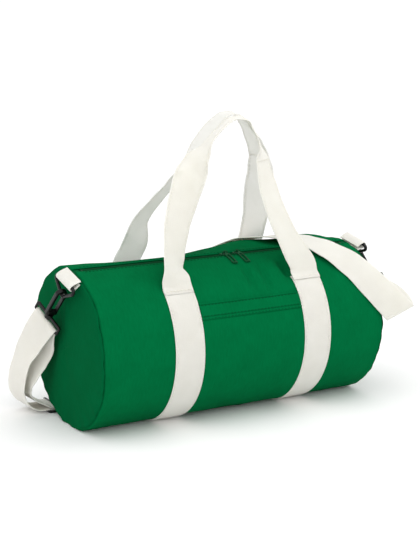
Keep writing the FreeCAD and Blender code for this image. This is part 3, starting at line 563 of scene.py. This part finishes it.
# rows hold a place and the web's width direction
dropRows = [
    (-290.0, 56.0, 122.0, -0.20, 0.93, 0.30), (-296.0, 76.0, 92.0, -0.08, 0.99, 0.05),
    (-299.0, 90.0, 60.0, -0.12, 0.99, 0.00), (-297.0, 97.0, 36.0, -0.10, 0.99, 0.00),
    (-286.0, 100.0, 16.0, -0.05, 1.00, 0.00), (-268.0, 101.0, 5.5, 0.00, 1.00, 0.00),
]
tailRows = [
    (-273.5, 38.0, 138.0, -0.25, 0.90, 0.45), (-271.0, 46.0, 122.0, -0.22, 0.95, 0.20),
    (-274.0, 58.0, 100.0, -0.15, 0.97, 0.10), (-281.0, 73.0, 76.0, -0.10, 0.99, 0.00),
    (-286.0, 90.0, 54.0, -0.10, 0.99, 0.00), (-285.0, 97.0, 35.0, -0.10, 0.99, 0.00),
    (-274.0, 100.0, 22.0, -0.05, 1.00, 0.00), (-258.0, 101.0, 13.0, 0.00, 1.00, 0.00),
    (-248.0, 101.0, 7.6, 0.00, 1.00, 0.00), (-238.3, 101.0, 7.6, 0.00, 1.00, 0.00),
]
climbRows = [
    (-95.0, 106.0, 8.0, 0.00, 0.97, 0.20), (-62.0, 120.0, 24.0, -0.15, 0.80, 0.58),
    (-38.0, 131.0, 50.0, -0.35, 0.40, 0.85),
]
# over the barrel: x, angle from the top, share of the lift over the zip, tilt of the web's width
wrapPlaces = np.array([
    (-22, -113, 0.80, 0), (-6, -95, 0.35, 0), (16, -75, 0.10, 0), (34, -58, 0, 0), (51, -43, 0, 0),
    (83, -26, 0.35, 0), (118, -12, 0.80, 0), (144, 0, 0.90, 0), (165.5, 12.5, 0.78, 0), (187.5, 26, 0.50, 3),
    (213.25, 42.5, 0.12, 9), (238.5, 60.5, 0, 12), (259.5, 72.2, 0.10, 15), (271.5, 78.7, 0.20, 19),
], float)
foldSide = np.array([-0.87, 0.22, -0.42])


# rotation of a vector about a unit axis: the along part stays, the level part turns
def turned(vector, axis, angles):
    angles = np.radians(angles)[:, None]
    along = axis * np.dot(vector, axis)
    return along + (vector - along) * np.cos(angles) + np.cross(axis, vector) * np.sin(angles)


# places along an arc that turns a way about an axis, drifting along the axis as a screw does
def bendPlaces(place, way, axis, turn, reach, count):
    slide = np.dot(way, axis)
    level = way - axis * slide
    inward = unit(np.cross(axis, level)) * reach
    share = np.linspace(0, 1, count + 1)
    drift = axis * (slide / np.linalg.norm(level) * reach * math.radians(turn))
    return place + inward - turned(inward, axis, share * turn) + drift * share[:, None]


# outward direction of the barrel at an angle
def outward(angle):
    turn = np.radians(angle)
    return np.stack([0 * turn, -np.sin(turn), np.cos(turn)], -1)


leftAt, leftUp, leftWide = (np.array(leftBar[key]) for key in ("place", "up", "wide"))
leftOut = np.cross(leftWide, leftUp)
leftStart = leftAt - leftOut * strap["reach"]
leftTurn = bendPlaces(leftStart, leftUp, leftWide, 180, strap["reach"], strap["barSteps"])
runStart, runEnd, runLead = (strap[key] for key in ("runStart", "runEnd", "runLead"))
runX = (runStart - runLead, runStart, runEnd, runEnd + runLead)
runRows = [(x, strap["runY"], strap["runZ"], 0, 1, 0) for x in runX]
# the wrap clears the highest canvas under the web's width, probed at three places
wrapX, wrapAngle, zipShare, tilt = wrapPlaces.T
inside = np.clip(wrapX, -barrel["halfLength"], barrel["halfLength"])
probes = (-strap["probe"], 0, strap["probe"])
below = np.max([canvasSwell(inside + edge, wrapAngle + edge / 2) for edge in probes], axis=0)
lift = np.maximum(strap["wrapLift"] + zipShare * strap["zipLift"], below + strap["clear"])
turn = np.radians(wrapAngle)
tilt = np.radians(tilt)
reach = barrel["radius"] + lift + web["width"] / 2 * np.sin(tilt)
wrapAt = np.stack([wrapX, -reach * np.sin(turn), barrel["axisHeight"] + reach * np.cos(turn)], -1)
ahead = np.vstack([wrapAt[1:], wrapAt[-1:]]) - np.vstack([wrapAt[:1], wrapAt[:-1]])
outAt = outward(wrapAngle)
level = unit(np.cross(ahead, outAt))
wrapRows = np.column_stack([wrapAt, level * np.cos(tilt)[:, None] - outAt * np.sin(tilt)[:, None]])
foldAxis = unit(foldSide)
foldWay = unit(wrapAt[-1] - wrapAt[-2])
foldTurn = bendPlaces(wrapAt[-1] + foldWay * strap["foldReach"], foldWay, -foldAxis, strap["foldTurn"],
                      strap["foldReach"], strap["foldSteps"])
rightAt, rightWide = (np.array(rightBar[key]) for key in ("place", "wide"))
leave = foldTurn[-1] - rightAt
leave = unit(leave - rightWide * np.dot(leave, rightWide))
over = np.cross(rightWide, leave)
over = over * np.sign(over[2])
rightStart = rightAt + over * strap["reach"]
rightTurn = bendPlaces(rightStart, -leave, np.cross(-leave, -over), 180, strap["reach"], strap["barSteps"])
closeBy = over * (strap["reach"] - strap["sewnGap"])
endPlaces = [rightAt + leave * strap["sewnBack"] * share + closeBy for share in (2 / 3, 1)]
strapRows = np.vstack([
    withSide(leftTurn, -leftWide), dropRows, runRows, climbRows, wrapRows, withSide(foldTurn, foldAxis),
    withSide([rightStart + leave * strap["straightEnd"]], rightWide),
    withSide(rightTurn, rightWide), withSide(endPlaces, rightWide),
])
addWeb("shoulderStrap", strapRows, "bag", ["shoulder_strap"], slant=True, step=strap["step"])
tailStart = leftStart - leftUp * np.array(strap["tailLead"])[:, None]
addWeb("strapTail", np.vstack([withSide(tailStart, -leftWide), tailRows]), "bag", ["strap_tail"],
       step=strap["step"])
print("webbing: bands, handles, tabs, strap and tail")

# stitches of 3 mm are drawn 6 mm apart and thick so that they show
thread = {"pitch": 6.0, "length": 4.2, "radius": 0.6, "aim": 0.5}
spindle = {"rows": 5, "sides": 6, "taper": 0.9}


# spindle: round section whose radius falls toward both ends by a fourth power, a small grid closed around
def spindles(name, centre, way, up, length, radius, material, body, stands=()):
    way = unit(way)
    up = unit(up - way * np.sum(up * way, 1, keepdims=True))
    side = np.cross(way, up)
    t = np.linspace(-1, 1, spindle["rows"])
    size = radius * (1 - spindle["taper"] * t ** 4)
    turn = np.arange(spindle["sides"]) * 2 * math.pi / spindle["sides"]
    ring = up[:, None] * np.cos(turn)[None, :, None] + side[:, None] * np.sin(turn)[None, :, None]
    points = (centre[:, None, None] + way[:, None, None] * (t * length / 2)[None, :, None, None]
              + ring[:, None] * size[None, :, None, None])
    one = gridQuads(spindle["rows"], spindle["sides"], wrapCols=True)
    first = np.arange(len(centre)) * spindle["rows"] * spindle["sides"]
    quads = (one[None] + first[:, None, None]).reshape(-1, 4)
    uv = np.zeros((points.size // 3, 2))
    return addPiece(name, points, quads, uv, material, body, stands)


# values of a line at run lengths, straight between its points
def alongLine(s, run, line):
    return np.stack([np.interp(s, run, line[:, k]) for k in range(3)], -1)


# a row of stitches: spindles laid along a line at an even pitch
def stitches(name, line, normal, material, body):
    run = np.concatenate([[0], np.cumsum(np.linalg.norm(np.diff(line, axis=0), axis=1))])
    s = np.arange(thread["pitch"] / 2, run[-1], thread["pitch"])
    ahead = alongLine(s + thread["aim"], run, line) - alongLine(s - thread["aim"], run, line)
    spindles(name, alongLine(s, run, line), ahead, alongLine(s, run, normal), thread["length"],
             thread["radius"], material, body)


# stitches along x and angle on the barrel, at a lift
def stitchBarrel(name, x, angle, lift, material=greenThread):
    x, angle = np.broadcast_arrays(np.asarray(x, float), np.asarray(angle, float))
    stitches(name, barrelPoint(x, angle, lift), outward(angle), material, "bag")


# places of the seams in mm and degrees: along the zip, on the pocket's hem, on the bands, laps and handles
seams = {"zipEnd": 236.0, "zipGap": 10.5, "zipLift": 0.25, "zipPoints": 240,
         "hemInset": 2.0, "hemLow": -0.7, "hemHigh": -2.6, "hemTop": 2.0, "hemLift": 2.35, "hemPoints": 90,
         "edge": 21.5, "bandFrom": 48.5, "bandTo": 158.0, "bandLift": 0.95, "bandPoints": 120,
         "lapHalf": 22.0, "lapAngle": 45.2, "lapLift": 4.1, "lapPoints": 30,
         "freeFrom": 24.0, "creaseRise": 173.0, "creasePoints": 20, "skin": 0.1}
alongZip = np.linspace(-seams["zipEnd"], seams["zipEnd"], seams["zipPoints"])
for name, side in (("zipFrontSeam", 1), ("zipRearSeam", -1)):
    zipSide = math.degrees(side * seams["zipGap"] / barrel["radius"])
    stitchBarrel(name, alongZip, barrel["zipAngle"] + zipSide, seams["zipLift"])
acrossPocket = np.linspace(pocket["left"] + seams["hemInset"], pocket["right"] - seams["hemInset"],
                           seams["hemPoints"])
stitchBarrel("hemSeamLow", acrossPocket, pocket["hem"] + seams["hemLow"], seams["hemLift"])
stitchBarrel("hemSeamHigh", acrossPocket, pocket["hem"] + seams["hemHigh"], seams["hemLift"])
stitchBarrel("hemSeamTop", acrossPocket, pocket["top"] + seams["hemTop"], seams["hemLift"])
acrossLap = np.linspace(-seams["lapHalf"], seams["lapHalf"], seams["lapPoints"])
for name, centre in zip(("left", "right"), bandCentres):
    for face, front in (("Front", 1), ("Rear", -1)):
        downBand = front * np.linspace(seams["bandFrom"], seams["bandTo"], seams["bandPoints"])
        for edgeName, edge in (("Left", -1), ("Right", 1)):
            stitchBarrel(name + face + "BandSeam" + edgeName, centre + edge * seams["edge"], downBand,
                         band["lift"] + seams["bandLift"], creamThread)
        stitchBarrel(name + face + "LapSeam", centre + acrossLap, front * seams["lapAngle"],
                     seams["lapLift"], creamThread)


# seams of a swinging handle on both faces: along its two edges above the bend, and across its right leg
def stitchHandle(name, line, body):
    centre, side, up = line
    free = centre[:, 2] > handle["jointZ"] + seams["freeFrom"]
    centre, side, up = centre[free], side[free], up[free]
    half = len(centre) // 2
    right = half + np.argmin(np.abs(centre[half:, 2] - handle["jointZ"] - seams["creaseRise"]))
    width = np.linspace(-seams["edge"], seams["edge"], seams["creasePoints"])[:, None]
    for face, out in (("Outer", 1), ("Inner", -1)):
        skin = centre + up * out * (web["thick"] / 2 + seams["skin"])
        rows = {"EdgeLeft": skin - side * seams["edge"], "EdgeRight": skin + side * seams["edge"],
                "Crease": skin[right] + side[right] * width}
        for row, places in rows.items():
            normal = np.tile(up[right] * out, (len(places), 1)) if row == "Crease" else up * out
            stitches(name + face + row, places, normal, creamThread, body)


stitchHandle("frontHandle", frontLine, "front_handle")
stitchHandle("rearHandle", rearLine, "rear_handle")

# zip: two tapes under the slot and two rows of moulded teeth that mesh along the middle
zipLook = {"end": 236.0, "tapeNear": 1.2, "tapeFar": 13.0, "tapeLift": -2.6, "tapeThick": 0.8,
           "tapeRows": 160, "tapeColumns": 8, "toothInset": 2.0, "pitch": 2.6, "toothLength": 4.4,
           "toothRadius": 0.95, "toothLift": -1.6, "offset": 1.2}
for name, side in (("front", 1), ("rear", -1)):
    across = np.linspace(zipLook["tapeNear"], zipLook["tapeFar"], zipLook["tapeColumns"]) * side
    alongTape = np.linspace(-zipLook["end"], zipLook["end"], zipLook["tapeRows"])
    spread, gap = np.meshgrid(alongTape, across, indexing="ij")
    points = barrelPoint(spread, barrel["zipAngle"] + np.degrees(gap / barrel["radius"]), zipLook["tapeLift"])
    quads = gridQuads(*spread.shape)
    addPiece(name + "ZipTape", points, quads if side < 0 else quads[:, ::-1], np.stack([spread, gap], -1),
             canvas, "bag", [name + "_zip_tape"], zipLook["tapeThick"])
    toothEnd = zipLook["end"] - zipLook["toothInset"]
    toothX = np.arange(-toothEnd, toothEnd, zipLook["pitch"]) + (side > 0) * zipLook["pitch"] / 2
    toothAngle = barrel["zipAngle"] + math.degrees(side * zipLook["offset"] / barrel["radius"]) + 0 * toothX
    centre = barrelPoint(toothX, toothAngle, zipLook["toothLift"])
    turn = np.radians(toothAngle)
    along = np.stack([0 * turn, -np.cos(turn), -np.sin(turn)], -1)
    spindles(name + "ZipTeeth", centre, along, outward(toothAngle), zipLook["toothLength"],
             zipLook["toothRadius"], teethLook, "bag", [name + "_zip_teeth"])
print("zip and stitching")

# floor of vinyl from the roll: it looks white, and throws less light back on the bag than it shows
floorLook = {"half": 500000.0, "drop": 0.6, "shown": "#ffffff", "thrown": "#eeeeee"}
vinyl, tree = newMaterial("studio vinyl, pale")
pale = addNode(tree, "ShaderNodeBsdfDiffuse", {"Color": linear(floorLook["shown"])})
dull = addNode(tree, "ShaderNodeBsdfDiffuse", {"Color": linear(floorLook["thrown"])})
seen = addNode(tree, "ShaderNodeMixShader", None,
               {"Fac": (addNode(tree, "ShaderNodeLightPath"), "Is Camera Ray"),
                1: (dull, "BSDF"), 2: (pale, "BSDF")})
addNode(tree, "ShaderNodeOutputMaterial", None, {"Surface": (seen, "Shader")})
corners = np.array([(-1, -1, 0), (1, -1, 0), (1, 1, 0), (-1, 1, 0)], float) * floorLook["half"]
corners[:, 2] = -floorLook["drop"]
floorMesh = bpy.data.meshes.new("floor")
floorMesh.from_pydata((corners * mm).tolist(), [], [(0, 1, 2, 3)])
floorMesh.materials.append(vinyl)
floor = bpy.data.objects.new("floor", floorMesh)
scene.collection.objects.link(floor)

# studio: a light tent and a softbox overhead
studio = {"level": 0.95, "rise": (-0.25, -0.45, 0.2), "keyPower": 9.0, "keySize": 2.0,
          "keyAt": (0.8, -0.2, 2.4), "keyAim": (0, 0, 0.15)}
world = bpy.data.worlds.new("studio")
world.use_nodes = True
sky = world.node_tree
sky.nodes.clear()
# light tent: a level brightness that rises a little toward the left, the front and overhead
toward = addNode(sky, "ShaderNodeVectorMath", {"operation": "DOT_PRODUCT", 1: studio["rise"]},
                 {0: (addNode(sky, "ShaderNodeTexCoord"), "Generated")})
bright = addNode(sky, "ShaderNodeMath", {"operation": "ADD", 1: studio["level"]}, {0: (toward, "Value")})
tent = addNode(sky, "ShaderNodeBackground", {"Color": (1, 1, 1, 1)}, {"Strength": (bright, "Value")})
# the tent's own wall looks as white as the floor
wall = addNode(sky, "ShaderNodeBackground", {"Color": (1, 1, 1, 1), "Strength": 1.0})
seen = addNode(sky, "ShaderNodeMixShader", None,
               {"Fac": (addNode(sky, "ShaderNodeLightPath"), "Is Camera Ray"),
                1: (tent, "Background"), 2: (wall, "Background")})
addNode(sky, "ShaderNodeOutputWorld", None, {"Surface": (seen, "Shader")})
scene.world = world


# turns a light or camera so that its -Z looks from one point at another, with Y up
def facing(place, aim):
    back = unit(np.array(place, float) - np.array(aim, float))
    right = unit(np.cross([0, 0, 1], back))
    matrix = np.eye(4)
    matrix[:3, :3] = np.column_stack([right, np.cross(back, right), back])
    matrix[:3, 3] = place
    return Matrix(matrix.tolist())


keyData = bpy.data.lights.new("softbox", "AREA")
keyData.energy = studio["keyPower"]
keyData.size = studio["keySize"]
key = bpy.data.objects.new("softbox", keyData)
scene.collection.objects.link(key)
key.matrix_world = facing(studio["keyAt"], studio["keyAim"])

cameraSet = {"place": (-1.08126, -1.85544, 0.64918), "aim": (-0.00107, 0.0, 0.2185), "lens": 91.32,
             "sensor": 36.0}
cameraData = bpy.data.cameras.new("camera")
cameraData.lens = cameraSet["lens"]
cameraData.sensor_width = cameraSet["sensor"]
cameraData.clip_end = 2 * floorLook["half"] * mm
camera = bpy.data.objects.new("camera", cameraData)
scene.collection.objects.link(camera)
camera.matrix_world = facing(cameraSet["place"], cameraSet["aim"])
scene.camera = camera
scene.view_settings.view_transform = "Standard"
print("studio: floor, tent, softbox and camera")

bpy.context.view_layer.update()
